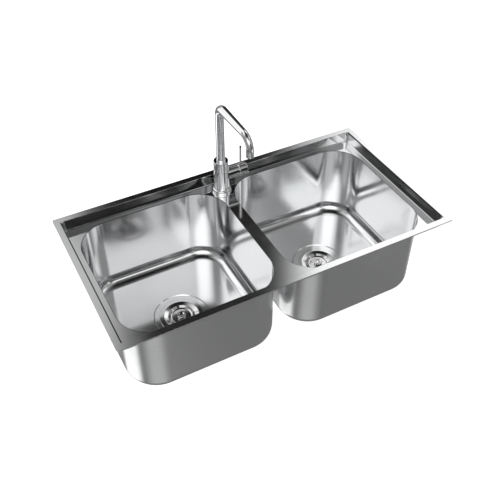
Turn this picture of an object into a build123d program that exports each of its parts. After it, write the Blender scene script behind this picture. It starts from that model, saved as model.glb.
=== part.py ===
from build123d import *
import os
from math import cos, radians, sin, sqrt

# Inset kitchen sink with two bowls, two basket wastes and a single-lever mixer tap.
# Millimetres. +X right, +Y back, +Z up. The origin is the centre of the plane in which
# the rim rests on the worktop.

# Sink pressing
RIM_WIDTH = 840.0
RIM_DEPTH = 440.0
RIM_CORNER_R = 4.0
RIM_LIP = 3.0
SHEET = 1.0
EDGE_R = 0.6
MOUTH_R = 0.9
PICK = 0.01
THREAD_GAP = 0.05
FLANGE_WIDTH = 16.5
RECESS_DEPTH = 27.5
RECESS_DRAFT = 2.5
RECESS_CORNER_R = 9.0
RECESS_FILLET_R = 3.0
SEAL_WIDTH = 9.0
SEAL_INSET = 0.5

# Bowls
BOWL_SIDE_MARGIN = 15.5
BOWL_END_MARGIN = 14.0
BOWL_DEPTH = 204.0
BOWL_CORNER_R = 80.0
BOWL_FILLET_R = 29.0
PARTITION = 31.0
SEAT_R = 69.0
SEAT_DEPTH = 2.0
SEAT_SLOPE = 2.0
DRAIN_HOLE_R = 45.0

# Waste: dish, body and clamp
DISH_R = 55.0
DISH_LEDGE_DEPTH = 0.5
DISH_DEPTH = 32.0
DISH_BENDS = [6.0, 3.0, 4.0]
CUP_R = 31.0
HOLE_GAP = 1.0
DISH_GASKET = 1.5
DISH_HOLE_R = 4.0
DISH_HOLE_RING_R = 18.0
DISH_HOLES = 8
BODY_GASKET = 2.5
BODY_FLANGE_R = 57.0
BODY_FLANGE = 5.0
BODY_WALL = 3.0
BODY_INSIDE_DEPTH = 42.0
BODY_CONE = 14.0
TAIL_R = 23.9
TAIL_BORE_R = 20.5
TAIL_LENGTH = 32.0
HUB_R = 8.0
HUB_LENGTH = 12.8
SPIDER_ARMS = 3
SPIDER_ARM = 3.2
INSERT_R = 5.0
INSERT_LENGTH = 8.0
SCREW_R = 3.0
SCREW_HEAD_R = 6.5
SCREW_HEAD = 2.6
SCREW_SOCKET = 5.0

# Strainer basket
BASKET_SHEET = 0.8
BASKET_OVERHANG = 1.6
BASKET_RIM_RISE = 2.2
BASKET_DEPTH = 5.0
BASKET_TAPER = 5.0
BASKET_BEND = 8.0
BASKET_HOLE_R = 1.3
BASKET_INNER_RING_R = 13.5
BASKET_INNER_HOLES = 8
BASKET_OUTER_RING_R = 20.0
BASKET_OUTER_HOLES = 16
STEM_POST_R = 4.0
STEM_NECK_R = 3.2
STEM_PLATE = 1.5
STOPPER_R = 25.0
STOPPER_BORE_R = 12.0
STOPPER = 3.5
STOPPER_GAP = 0.3
KNOB_R = 10.5
KNOB_NECK_R = 5.0
KNOB_HEAD = 6.5
KNOB_TOP = 5.0

# Tap on the deck
TAP_MARGIN = 33.0
TAP_HOLE_R = 17.5
BASE_RING_R = 23.5
BASE_RING_TOP_R = 20.2
BASE_RING = 10.0
BASE_LIFT = 0.2
BASE_GASKET = 1.2
BASE_GASKET_WIDTH = 4.0
SPIGOT_R = 16.5
SPIGOT_GAP = 0.1
SPIGOT_BELOW = 2.5
BODY_FOOT_R = 19.5
BODY_TOP_R = 18.2
BODY_TOP = 92.0
STUD_R = 4.0
STUD_X = -11.5
STUD_DEPTH = 12.0
STUD_BELOW = 52.0
STUD_GAP = 0.3
INLET_R = 4.55
INLET_DEPTH = 12.0
INLET_X = 3.0
INLET_Y = 6.0
OUTLET_X = -3.0
DECK_GASKET = 2.0
CLAMP_PLATE = 3.0
CLAMP_R = 25.0
CLAMP_SLOT_X = 7.0
CLAMP_SLOT_R = 12.5
NUT_FLATS = 13.0
NUT_LENGTH = 12.0

# Spout
SPOUT_AXIS_HEIGHT = 243.5
SPOUT_REACH = 150.5
SPOUT_R = 10.75
SPOUT_END_R = 8.8
SPOUT_WALL = 1.3
SPOUT_REAR_BEND = 20.0
SPOUT_FRONT_BEND = 30.0
OUTLET_HEIGHT = 199.0
SOCKET_R = 13.5
SOCKET_DEPTH = 34.0
SLEEVE_GAP = 0.08
SLEEVE_BORE_R = 8.5
TUBE_SEAT = 12.0
GLIDE_RING = 2.0
GLIDE_GAP = 0.05
O_RING_R = 1.0
O_RING_PITCH = 4.0
O_RING_LIFT = 3.0
RING_NUT_R = 15.5
RING_NUT = 6.0
SWIVEL_WASHER = 2.0
TUBE_GAP = 0.2
NUT_PIN_HOLE_R = 0.9
AERATOR_R = 9.2
AERATOR_RING = 11.0
AERATOR_SPIGOT = 3.2
AERATOR_WALL = 1.4
AERATOR_INSERT = 6.0
AERATOR_WASHER = 1.2
AERATOR_JET_R = 1.1
AERATOR_JET_RING_R = 4.2
AERATOR_JETS = 8

# Mixing valve in the side barrel, measured along the barrel from the tap's axis
VALVE_HEIGHT = 46.0
BARREL_R = 16.0
PIVOT_X = 44.5
BARREL_SETBACK = 1.4
CARTRIDGE_R = 12.4
CARTRIDGE_GAP = 0.1
CARTRIDGE_SEAT_X = 22.0
PORT_GASKET = 1.0
CARTRIDGE_BASE = 3.0
DISC = 3.0
MOVING_DISC = 2.5
DISC_FILM = 0.05
FIXED_DISC_R = 11.0
MOVING_DISC_R = 8.0
MIX_POCKET = 1.2
MIX_POCKET_WIDTH = 12.0
MIX_POCKET_TOP = 0.5
MIX_POCKET_LOW = -4.0
INLET_PORT_R = 2.3
INLET_PORT_RISE = 3.5
OUTLET_PORT_R = 3.0
OUTLET_PORT_DROP = 2.5
HOUSING_BORE_R = 11.2
NECK_R = 10.3
NECK_END = 2.5
TURRET_R = 9.0
TURRET_GAP = 0.05
TURRET_HEAD_R = 7.5
TURRET_HEAD = 3.0
TURRET_FLANGE_R = 10.8
TURRET_FLANGE = 0.9
HOUSING_SHOULDER_X = 38.0
HOUSING_LIP = 0.7
STEM_CHEEK = 6.0
STEM_CHEEK_R = 4.5
STEM_GAP = 0.2
STEM_R = 3.6
STEM_FLAT = 5.0
STEM_LEG_R = 2.0
STEM_BALL_R = 2.4
STEM_LEG = 9.0
STEM_LENGTH = 21.5
BALL_GAP = 0.3
PIN_R = 1.5
PIN_GAP = 0.03
CARRIER_CLEAR = 0.5
CARTRIDGE_NUT_R = 14.2
NUT_GAP = 0.05
NUT_COLLAR_R = 13.8
NUT_COLLAR = 2.0
DOME_R = 15.4
DOME_WALL = 1.5
DOME_HOLE_R = 9.0

# Handle
TILT_MAX = 18.0
CAP_GAP = 0.35
CAP_RIM = 4.0
CAP_END = 25.0
CAP_EDGE_R = 2.2
SOCKET_GAP = 0.03
LEVER_R = 2.4
LEVER_X = 9.4
LEVER_TOP = 70.7
LEVER_SEAT = 1.5
LEVER_EDGE = 0.4
GRUB_R = 2.0
GRUB_X = 18.6
GRUB_INSET = 0.8

# Heights and places that follow from the sizes above
Z_DECK = RIM_LIP - RECESS_DEPTH
Z_FLOOR = Z_DECK - BOWL_DEPTH
Z_SEAT = Z_FLOOR - SEAT_DEPTH
RECESS_WIDTH = RIM_WIDTH - 2 * FLANGE_WIDTH
RECESS_LENGTH = RIM_DEPTH - 2 * FLANGE_WIDTH
BOWL_WIDTH = (RECESS_WIDTH - 2 * RECESS_DRAFT - 2 * BOWL_SIDE_MARGIN - PARTITION) / 2
BOWL_LENGTH = RECESS_LENGTH - 2 * RECESS_DRAFT - 2 * BOWL_END_MARGIN
BOWL_X = (PARTITION + BOWL_WIDTH) / 2
TAP_Y = RECESS_LENGTH / 2 - RECESS_DRAFT - TAP_MARGIN
Z_BASKET_RIM = BASKET_RIM_RISE - DISH_LEDGE_DEPTH
Z_BASKET_FLOOR = Z_BASKET_RIM - BASKET_DEPTH
BARREL_END = PIVOT_X - BARREL_SETBACK
SIDES = {"left": -1, "right": 1}


def prism(width, length, radius, z_low, z_high):
    """Upright prism on a rounded rectangle centred on the Z axis."""
    return Pos(0, 0, z_low) * extrude(RectangleRounded(width, length, radius), z_high - z_low)


def rod(radius, z_low, z_high):
    """Upright cylinder on the Z axis."""
    return Pos(0, 0, z_low) * extrude(Circle(radius), z_high - z_low)


def ring(r_in, r_out, z_low, z_high):
    """Upright tube on the Z axis."""
    return Pos(0, 0, z_low) * extrude(Circle(r_out) - Circle(r_in), z_high - z_low)


def turned(profile):
    """Solid of revolution about the Z axis from a flat profile of (radius, height)."""
    return revolve(Plane.XZ * profile, Axis.Z)


def outline(*points):
    """Flat profile closed through the given (radius, height) points."""
    return make_face(Polyline(*points, close=True))


def sheet_profile(points, bends, thickness):
    """Flat profile of bent sheet whose middle line runs through the points."""
    return make_face(offset(FilletPolyline(*points, radius=bends), thickness / 2))


def on_deck(shape):
    """Shape of the tap's own frame, moved to the tap hole."""
    return Pos(0, TAP_Y, Z_DECK) * shape


def on_barrel(shape):
    """Shape turned about Z, laid along the side barrel with its Z along +X."""
    return on_deck(Pos(0, 0, VALVE_HEIGHT) * Rot(0, 90, 0) * shape)


# Sink

def recess(grow):
    """The drawn pan inside the flange, grown by one sheet for its outside."""
    top = Pos(0, 0, RIM_LIP) * RectangleRounded(
        RECESS_WIDTH + 2 * grow, RECESS_LENGTH + 2 * grow, RECESS_CORNER_R + grow)
    inset = 2 * (grow - RECESS_DRAFT)
    bottom = Pos(0, 0, Z_DECK - grow) * RectangleRounded(
        RECESS_WIDTH + inset, RECESS_LENGTH + inset, RECESS_CORNER_R + grow)
    pan = loft([bottom, top])
    return fillet(pan.edges().group_by(Axis.Z)[0], RECESS_FILLET_R + grow)


def bowl_opening(side):
    """Prism of a bowl's inside, through the deck."""
    return Pos(side * BOWL_X, 0, 0) * prism(
        BOWL_WIDTH, BOWL_LENGTH, BOWL_CORNER_R, Z_DECK - 2 * SHEET, Z_DECK + SHEET)


def deck_panel():
    rim = prism(RIM_WIDTH, RIM_DEPTH, RIM_CORNER_R, 0, RIM_LIP)
    under = prism(RIM_WIDTH - 2 * SHEET, RIM_DEPTH - 2 * SHEET, RIM_CORNER_R - SHEET,
                  0, RIM_LIP - SHEET)
    panel = rim - under + recess(SHEET) - recess(0)
    panel = fillet(panel.edges().filter_by_position(Axis.Z, RIM_LIP - PICK, RIM_LIP + PICK), EDGE_R)
    for side in SIDES.values():
        panel -= bowl_opening(side)
    panel -= Pos(0, TAP_Y, 0) * rod(TAP_HOLE_R, Z_DECK - 2 * SHEET, Z_DECK + SHEET)
    x_min = PARTITION / 2 - PICK
    x_max = PARTITION / 2 + BOWL_WIDTH + PICK
    y_max = BOWL_LENGTH / 2 + PICK
    at_deck = panel.edges().filter_by_position(Axis.Z, Z_DECK - PICK, Z_DECK + PICK)
    mouths = [e for e in at_deck
              if x_min < abs(e.center().X) < x_max and abs(e.center().Y) < y_max]
    return fillet(mouths, MOUTH_R)


def bowl(side):
    outside = prism(BOWL_WIDTH + 2 * SHEET, BOWL_LENGTH + 2 * SHEET, BOWL_CORNER_R + SHEET,
                    Z_FLOOR - SHEET, Z_DECK - SHEET)
    outside = fillet(outside.edges().group_by(Axis.Z)[0], BOWL_FILLET_R + SHEET)
    inside = prism(BOWL_WIDTH, BOWL_LENGTH, BOWL_CORNER_R, Z_FLOOR, Z_DECK)
    inside = fillet(inside.edges().group_by(Axis.Z)[0], BOWL_FILLET_R)
    low = SEAT_R - SEAT_SLOPE
    seat_outside = outline((0, Z_SEAT - SHEET), (low + SHEET, Z_SEAT - SHEET),
                           (SEAT_R + SHEET, Z_FLOOR - SHEET), (0, Z_FLOOR - SHEET))
    seat_inside = outline((0, Z_SEAT), (low, Z_SEAT), (SEAT_R, Z_FLOOR), (0, Z_FLOOR))
    shell = outside + turned(seat_outside) - inside - turned(seat_inside)
    shell -= rod(DRAIN_HOLE_R, Z_SEAT - 2 * SHEET, Z_FLOOR)
    return Pos(side * BOWL_X, 0, 0) * shell


def rim_seal():
    inset = 2 * (SHEET + SEAL_INSET)
    outer = prism(RIM_WIDTH - inset, RIM_DEPTH - inset, RIM_CORNER_R, 0, RIM_LIP - SHEET)
    inset += 2 * SEAL_WIDTH
    return outer - prism(RIM_WIDTH - inset, RIM_DEPTH - inset, RIM_CORNER_R, 0, RIM_LIP - SHEET)


# Wastes, with z = 0 on the bowl's pressed seat

def at_drain(side, shape):
    """Shape of a waste's own frame, moved to its bowl."""
    return Pos(side * BOWL_X, 0, Z_SEAT) * shape


def waste_dish():
    half = SHEET / 2
    mouth = DRAIN_HOLE_R - HOLE_GAP - half
    points = [(DISH_R - half, DISH_GASKET + half), (mouth, DISH_GASKET + half),
              (CUP_R + half, -DISH_LEDGE_DEPTH - half), (CUP_R + half, -DISH_DEPTH - half),
              (SCREW_R + 2 * half, -DISH_DEPTH - half)]
    dish = turned(sheet_profile(points, DISH_BENDS, SHEET))
    hole = rod(DISH_HOLE_R, -DISH_DEPTH - 2 * SHEET, -DISH_DEPTH + SHEET)
    return dish - [place * hole for place in PolarLocations(DISH_HOLE_RING_R, DISH_HOLES)]


def dish_gasket():
    r_in = DRAIN_HOLE_R - HOLE_GAP - SHEET / 2 + DISH_BENDS[0] / 2
    return ring(r_in, DISH_R - SHEET, 0, DISH_GASKET)


def body_gasket():
    return ring(DRAIN_HOLE_R + SHEET, BODY_FLANGE_R - SHEET, -SHEET - BODY_GASKET, -SHEET)


def waste_body():
    top = -SHEET - BODY_GASKET
    r_in = DRAIN_HOLE_R - SHEET / 2
    r_out = r_in + BODY_WALL
    cone = -BODY_INSIDE_DEPTH
    shell = turned(outline(
        (r_in, top), (BODY_FLANGE_R, top), (BODY_FLANGE_R, top - BODY_FLANGE),
        (r_out, top - BODY_FLANGE), (r_out, cone), (TAIL_R, cone - BODY_CONE),
        (TAIL_R, cone - BODY_CONE - TAIL_LENGTH), (TAIL_BORE_R, cone - BODY_CONE - TAIL_LENGTH),
        (TAIL_BORE_R, cone - BODY_CONE + SHEET), (r_in, cone + SHEET)))
    hub_top = -DISH_DEPTH - SHEET - STOPPER_GAP
    hub_low = hub_top - HUB_LENGTH
    arm = Pos(r_in / 2, 0, hub_top - HUB_LENGTH / 2) * Box(r_in + BODY_WALL, SPIDER_ARM, HUB_LENGTH / 2)
    body = shell + rod(HUB_R, hub_low, hub_top)
    body += [Rot(0, 0, i * 360 / SPIDER_ARMS) * arm for i in range(SPIDER_ARMS)]
    body -= rod(SCREW_R + STUD_GAP, hub_low, hub_top)
    return body - rod(INSERT_R + THREAD_GAP, hub_low, hub_low + INSERT_LENGTH)


def hub_insert():
    hub_low = -DISH_DEPTH - SHEET - STOPPER_GAP - HUB_LENGTH
    return ring(SCREW_R + THREAD_GAP, INSERT_R, hub_low, hub_low + INSERT_LENGTH)


def clamp_screw():
    hub_low = -DISH_DEPTH - SHEET - STOPPER_GAP - HUB_LENGTH
    head_top = -DISH_DEPTH + SCREW_HEAD
    screw = rod(SCREW_R, hub_low, -DISH_DEPTH) + rod(SCREW_HEAD_R, -DISH_DEPTH, head_top)
    screw = fillet(screw.edges().group_by(Axis.Z)[-1], SCREW_HEAD / 3)
    socket = Pos(0, 0, head_top - SCREW_HEAD / 2) * extrude(
        RegularPolygon(SCREW_SOCKET / 2, 6, major_radius=False), SCREW_HEAD)
    return screw - socket


def basket():
    half = BASKET_SHEET / 2
    points = [(CUP_R + BASKET_OVERHANG, Z_BASKET_RIM), (CUP_R - BASKET_TAPER, Z_BASKET_FLOOR),
              (STEM_NECK_R + 2 * half, Z_BASKET_FLOOR)]
    saucer = turned(sheet_profile(points, [BASKET_BEND], BASKET_SHEET))
    hole = rod(BASKET_HOLE_R, Z_BASKET_FLOOR - SHEET, Z_BASKET_FLOOR + SHEET)
    saucer -= [place * hole for place in PolarLocations(BASKET_INNER_RING_R, BASKET_INNER_HOLES)]
    return saucer - [place * hole for place in PolarLocations(BASKET_OUTER_RING_R, BASKET_OUTER_HOLES)]


def basket_stem():
    base = Z_BASKET_FLOOR - BASKET_SHEET / 2
    plate = -DISH_DEPTH + STOPPER_GAP + STOPPER
    stem = rod(STOPPER_R - SHEET, plate, plate + STEM_PLATE) + rod(STEM_POST_R, plate + STEM_PLATE, base)
    return stem + rod(STEM_NECK_R, base, KNOB_TOP - KNOB_HEAD)


def basket_knob():
    foot = Z_BASKET_FLOOR + BASKET_SHEET / 2
    top = KNOB_TOP
    low = top - KNOB_HEAD
    bore = STEM_NECK_R + THREAD_GAP
    head = outline((bore, foot), (KNOB_NECK_R, foot), (KNOB_NECK_R, low),
                   (0.9 * KNOB_R, low + 0.35 * KNOB_HEAD), (KNOB_R, low + 0.6 * KNOB_HEAD),
                   (KNOB_R, low + 0.85 * KNOB_HEAD), (0.85 * KNOB_R, top), (0.7 * KNOB_R, top),
                   (0.45 * KNOB_R, top - 0.2 * KNOB_HEAD), (0, top - 0.22 * KNOB_HEAD),
                   (0, low), (bore, low))
    return turned(head)


def basket_seal():
    low = -DISH_DEPTH + STOPPER_GAP
    stopper = ring(STOPPER_BORE_R, STOPPER_R, low, low + STOPPER)
    return chamfer(stopper.edges().group_by(Axis.Z)[0], STOPPER / 5)


# Tap fixing, with z = 0 on the deck

def base_ring():
    r_in = SPIGOT_R + SPIGOT_GAP
    waist = BASE_RING / 2
    rise = BASE_RING - waist
    run = BASE_RING_R - BASE_RING_TOP_R
    edges = [Line((r_in, BASE_LIFT), (BASE_RING_R, BASE_LIFT)),
             Line((BASE_RING_R, BASE_LIFT), (BASE_RING_R, waist)),
             ThreePointArc((BASE_RING_R, waist),
                           (BASE_RING_R - run * (1 - cos(radians(45))), waist + rise * sin(radians(45))),
                           (BASE_RING_TOP_R, BASE_RING)),
             Line((BASE_RING_TOP_R, BASE_RING), (r_in, BASE_RING)),
             Line((r_in, BASE_RING), (r_in, BASE_LIFT))]
    r_mid = (r_in + BASE_RING_R) / 2
    groove = ring(r_mid - BASE_GASKET_WIDTH / 2, r_mid + BASE_GASKET_WIDTH / 2, 0, BASE_GASKET)
    return turned(make_face(edges)) - groove


def base_gasket():
    r_mid = (SPIGOT_R + SPIGOT_GAP + BASE_RING_R) / 2
    half = BASE_GASKET_WIDTH / 2 - THREAD_GAP
    return ring(r_mid - half, r_mid + half, 0, BASE_GASKET)


def tap_channels():
    """Water ways: two inlets to the cartridge's seat and one outlet up to the spout."""
    ways = []
    high = VALVE_HEIGHT + INLET_PORT_RISE
    for y in (-INLET_Y, INLET_Y):
        ways.append(Pos(INLET_X, y, 0) * rod(INLET_R, -SPIGOT_BELOW, INLET_DEPTH - SPIGOT_BELOW))
        ways.append(Pos(INLET_X, y, 0) * rod(INLET_PORT_R, -SPIGOT_BELOW, high))
        ways.append(Pos(0, y, high) * Rot(0, 90, 0) * rod(INLET_PORT_R, INLET_X, CARTRIDGE_SEAT_X))
    low = VALVE_HEIGHT - OUTLET_PORT_DROP
    ways.append(Pos(0, 0, low) * Rot(0, 90, 0) * rod(OUTLET_PORT_R, OUTLET_X, CARTRIDGE_SEAT_X))
    ways.append(Pos(OUTLET_X, 0, 0) * rod(OUTLET_PORT_R, low, BODY_TOP - SOCKET_DEPTH))
    return ways


def tap_body():
    spigot = rod(SPIGOT_R, -SPIGOT_BELOW, BASE_RING)
    column = turned(outline((0, BASE_RING), (BODY_FOOT_R, BASE_RING), (BODY_TOP_R, BODY_TOP), (0, BODY_TOP)))
    column = fillet(column.edges().group_by(Axis.Z)[-1], EDGE_R)
    barrel = rod(BARREL_R, 0, BARREL_END)
    bore = rod(CARTRIDGE_R + CARTRIDGE_GAP, CARTRIDGE_SEAT_X, BARREL_END)
    bore += rod(CARTRIDGE_NUT_R + NUT_GAP, HOUSING_SHOULDER_X, BARREL_END)
    lay = Pos(0, 0, VALVE_HEIGHT) * Rot(0, 90, 0)
    body = spigot + column + lay * barrel - lay * bore
    body -= rod(SOCKET_R, BODY_TOP - SOCKET_DEPTH, BODY_TOP)
    body -= rod(RING_NUT_R, BODY_TOP - RING_NUT - SWIVEL_WASHER, BODY_TOP)
    body -= Pos(STUD_X, 0, 0) * rod(STUD_R + THREAD_GAP, -SPIGOT_BELOW, STUD_DEPTH - SPIGOT_BELOW)
    return body - tap_channels()


def mounting_stud():
    return Pos(STUD_X, 0, 0) * rod(STUD_R, -STUD_BELOW, STUD_DEPTH - SPIGOT_BELOW)


def clamp_outline(r_in):
    """Horseshoe under the deck: a disc open on one side for the supply hoses."""
    mouth = Pos(CLAMP_SLOT_X, 0) * Circle(r_in) + Pos(CLAMP_SLOT_X + CLAMP_R / 2, 0) * Rectangle(CLAMP_R, 2 * r_in)
    return Circle(CLAMP_R) - mouth


def deck_gasket():
    top = -SHEET
    return Pos(0, 0, top - DECK_GASKET) * extrude(Circle(CLAMP_R) - Circle(TAP_HOLE_R), DECK_GASKET)


def horseshoe_plate():
    top = -SHEET - DECK_GASKET
    face = clamp_outline(CLAMP_SLOT_R) - Pos(STUD_X, 0) * Circle(STUD_R + STUD_GAP)
    return Pos(0, 0, top - CLAMP_PLATE) * extrude(face, CLAMP_PLATE)


def mounting_nut():
    top = -SHEET - DECK_GASKET - CLAMP_PLATE
    face = RegularPolygon(NUT_FLATS / 2, 6, major_radius=False) - Circle(STUD_R + THREAD_GAP)
    return Pos(STUD_X, 0, top - NUT_LENGTH) * extrude(face, NUT_LENGTH)


# Spout, with z = 0 on the deck

def glide_ring():
    low = BODY_TOP - SOCKET_DEPTH
    return ring(SLEEVE_BORE_R, SOCKET_R, low, low + GLIDE_RING)


def sleeve_span():
    """Lower and upper end of the sleeve that turns in the body."""
    low = BODY_TOP - SOCKET_DEPTH + GLIDE_RING + GLIDE_GAP
    return low, BODY_TOP - RING_NUT - SWIVEL_WASHER - GLIDE_GAP


def seal_heights():
    """Heights of the sleeve's two O-rings."""
    low = sleeve_span()[0] + O_RING_LIFT
    return low, low + O_RING_PITCH


def spout_sleeve():
    low, high = sleeve_span()
    r_out = SOCKET_R - SLEEVE_GAP
    sleeve = ring(SLEEVE_BORE_R, r_out, low, high)
    sleeve -= rod(SPOUT_R + THREAD_GAP, high - TUBE_SEAT, high)
    for z in seal_heights():
        sleeve -= ring(r_out - 2 * O_RING_R, r_out, z - O_RING_R, z + O_RING_R)
    return sleeve


def sleeve_seals():
    r_mid = SOCKET_R - SLEEVE_GAP - O_RING_R
    return Compound([Pos(0, 0, z) * Torus(r_mid, O_RING_R) for z in seal_heights()])


def tube_run(shrink):
    """Solid along the spout's path, drawn in by the given wall."""
    base = sleeve_span()[1] - TUBE_SEAT
    r_rear = SPOUT_R - shrink
    r_front = SPOUT_END_R - shrink
    rear = SPOUT_AXIS_HEIGHT - SPOUT_REAR_BEND
    front = SPOUT_AXIS_HEIGHT - SPOUT_FRONT_BEND
    arm = SPOUT_REACH - SPOUT_REAR_BEND - SPOUT_FRONT_BEND
    run = rod(r_rear, base, rear)
    rear_axis = Axis((0, -SPOUT_REAR_BEND, rear), (1, 0, 0))
    run += revolve(Pos(0, 0, rear) * Circle(r_rear), rear_axis, 90)
    cone = Pos(0, -SPOUT_REAR_BEND - arm / 2, SPOUT_AXIS_HEIGHT) * Rot(90, 0, 0) * Cone(r_rear, r_front, arm)
    run += cone
    front_axis = Axis((0, SPOUT_FRONT_BEND - SPOUT_REACH, front), (1, 0, 0))
    run += revolve(Pos(0, -SPOUT_REACH, front) * Circle(r_front), front_axis, -90)
    return run + Pos(0, -SPOUT_REACH, 0) * rod(r_front, OUTLET_HEIGHT + AERATOR_RING, front)


def spout_tube():
    return tube_run(0) - tube_run(SPOUT_WALL)


def swivel_washer():
    top = BODY_TOP - RING_NUT
    return ring(SPOUT_R + TUBE_GAP, RING_NUT_R, top - SWIVEL_WASHER, top)


def spout_ring_nut():
    nut = ring(SPOUT_R + TUBE_GAP, RING_NUT_R, BODY_TOP - RING_NUT, BODY_TOP)
    pin_hole = rod(NUT_PIN_HOLE_R, BODY_TOP - RING_NUT / 2, BODY_TOP)
    return nut - [place * pin_hole for place in PolarLocations((SPOUT_R + RING_NUT_R) / 2, 2)]


def at_outlet(shape):
    """Shape of the outlet's own frame, z = 0 at the mouth, moved to the spout's end."""
    return Pos(0, -SPOUT_REACH, OUTLET_HEIGHT) * shape


def aerator_housing():
    bore = AERATOR_R - AERATOR_WALL
    spigot_r = SPOUT_END_R - SPOUT_WALL - THREAD_GAP
    body = rod(AERATOR_R, 0, AERATOR_RING) + rod(spigot_r, AERATOR_RING, AERATOR_RING + AERATOR_SPIGOT)
    body = fillet(body.edges().group_by(Axis.Z)[0], EDGE_R)
    body -= rod(bore, 0, AERATOR_INSERT + AERATOR_WASHER)
    return at_outlet(body - rod(bore - 2 * AERATOR_WALL, 0, AERATOR_RING + AERATOR_SPIGOT))


def aerator_washer():
    bore = AERATOR_R - AERATOR_WALL
    return at_outlet(ring(bore - 2 * AERATOR_WALL, bore, AERATOR_INSERT, AERATOR_INSERT + AERATOR_WASHER))


def aerator_insert():
    insert = rod(AERATOR_R - AERATOR_WALL, EDGE_R, AERATOR_INSERT)
    jet = rod(AERATOR_JET_R, 0, AERATOR_INSERT)
    insert -= [place * jet for place in PolarLocations(AERATOR_JET_RING_R, AERATOR_JETS)]
    return at_outlet(insert - jet)


# Mixing cartridge, laid along the barrel: local z runs outwards, local x points down

def layer_ends():
    """Faces between the layers of the cartridge, from its seat outwards."""
    gasket = CARTRIDGE_SEAT_X + PORT_GASKET
    base = gasket + CARTRIDGE_BASE
    fixed = base + DISC
    moving = fixed + DISC_FILM + MOVING_DISC
    return gasket, base, fixed, moving


def ports(low, high):
    """The three water ports through a layer."""
    inlet = rod(INLET_PORT_R, low, high)
    inlets = [Pos(-INLET_PORT_RISE, y, 0) * inlet for y in (-INLET_Y, INLET_Y)]
    return inlets + [Pos(OUTLET_PORT_DROP, 0, 0) * rod(OUTLET_PORT_R, low, high)]


def port_gasket():
    top = layer_ends()[0]
    return on_barrel(rod(CARTRIDGE_R, CARTRIDGE_SEAT_X, top) - ports(CARTRIDGE_SEAT_X, top))


def cartridge_base():
    low, high = layer_ends()[:2]
    return on_barrel(rod(CARTRIDGE_R, low, high) - ports(low, high))


def fixed_disc():
    low, high = layer_ends()[1:3]
    return on_barrel(rod(FIXED_DISC_R, low, high) - ports(low, high))


def moving_disc():
    low = layer_ends()[2] + DISC_FILM
    disc = rod(MOVING_DISC_R, low, layer_ends()[3])
    middle = -(MIX_POCKET_TOP + MIX_POCKET_LOW) / 2
    pocket = Pos(middle, 0, low + MIX_POCKET / 2) * Box(
        MIX_POCKET_TOP - MIX_POCKET_LOW, MIX_POCKET_WIDTH, MIX_POCKET)
    return on_barrel(disc - pocket)


def disc_carrier():
    low = layer_ends()[3]
    high = PIVOT_X - STEM_LEG + CARRIER_CLEAR
    socket = rod(STEM_BALL_R + BALL_GAP, PIVOT_X - STEM_LEG - STEM_BALL_R - BALL_GAP, high)
    return on_barrel(rod(MOVING_DISC_R, low, high) - socket)


def cartridge_housing():
    low = layer_ends()[1]
    shoulder = HOUSING_SHOULDER_X
    neck_end = PIVOT_X - NECK_END
    shell = rod(CARTRIDGE_R, low, shoulder) + rod(NECK_R, shoulder, neck_end)
    shell -= rod(HOUSING_BORE_R, low, shoulder - HOUSING_LIP)
    return on_barrel(shell - rod(TURRET_R + TURRET_GAP, low, neck_end))


def turret():
    flange_top = HOUSING_SHOULDER_X - HOUSING_LIP - GLIDE_GAP
    flange_low = flange_top - TURRET_FLANGE
    neck_end = PIVOT_X - NECK_END
    body = rod(TURRET_FLANGE_R, flange_low, flange_top) + rod(TURRET_R, flange_top, neck_end)
    body += rod(TURRET_HEAD_R, neck_end, PIVOT_X + TURRET_HEAD)
    slot_low = PIVOT_X - STEM_CHEEK_R - BALL_GAP
    slot = Pos(0, 0, (slot_low + PIVOT_X + STEM_LENGTH) / 2) * Box(
        4 * TURRET_R, STEM_CHEEK + 2 * STEM_GAP, PIVOT_X + STEM_LENGTH - slot_low)
    swing = STEM_LEG * sin(radians(TILT_MAX))
    leg_r = STEM_BALL_R + BALL_GAP
    leg_way = Pos(-swing / 2, 0, flange_low) * extrude(
        SlotOverall(swing + 2 * leg_r, 2 * leg_r), slot_low - flange_low)
    bore = Pos(0, 0, PIVOT_X) * Rot(90, 0, 0) * rod(PIN_R, -TURRET_HEAD_R, TURRET_HEAD_R)
    return on_barrel(body - slot - leg_way - bore)


def pivot_pin():
    half = sqrt(TURRET_HEAD_R ** 2 - PIN_R ** 2) - STEM_GAP
    return on_barrel(Pos(0, 0, PIVOT_X) * Rot(90, 0, 0) * rod(PIN_R, -half, half))


def stem():
    cheek = Rot(90, 0, 0) * rod(STEM_CHEEK_R, -STEM_CHEEK / 2, STEM_CHEEK / 2)
    flat = Pos(0, 0, STEM_FLAT / 2) * Box(2 * STEM_R, STEM_CHEEK, STEM_FLAT)
    lever = cheek + flat + rod(STEM_R, STEM_FLAT, STEM_LENGTH) + rod(STEM_LEG_R, -STEM_LEG, 0)
    lever = lever + Pos(0, 0, -STEM_LEG) * Sphere(STEM_BALL_R)
    lever -= Rot(90, 0, 0) * rod(PIN_R + PIN_GAP, -STEM_CHEEK, STEM_CHEEK)
    return on_barrel(Pos(0, 0, PIVOT_X) * lever)


def cartridge_nut():
    nut = ring(NECK_R + TUBE_GAP, CARTRIDGE_NUT_R, HOUSING_SHOULDER_X, BARREL_END)
    return on_barrel(nut + ring(NECK_R + TUBE_GAP, NUT_COLLAR_R, BARREL_END, BARREL_END + NUT_COLLAR))


def dome_cover():
    dome = Sphere(DOME_R) - Sphere(DOME_R - DOME_WALL) - rod(DOME_HOLE_R, 0, DOME_R)
    dome -= Pos(0, 0, -DOME_R - BARREL_SETBACK) * Cylinder(DOME_R, 2 * DOME_R)
    dome -= rod(NUT_COLLAR_R + NUT_GAP, -BARREL_SETBACK, NUT_COLLAR - BARREL_SETBACK)
    return on_barrel(Pos(0, 0, PIVOT_X) * dome)


# Handle, with z = 0 on the tilt axis

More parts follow.
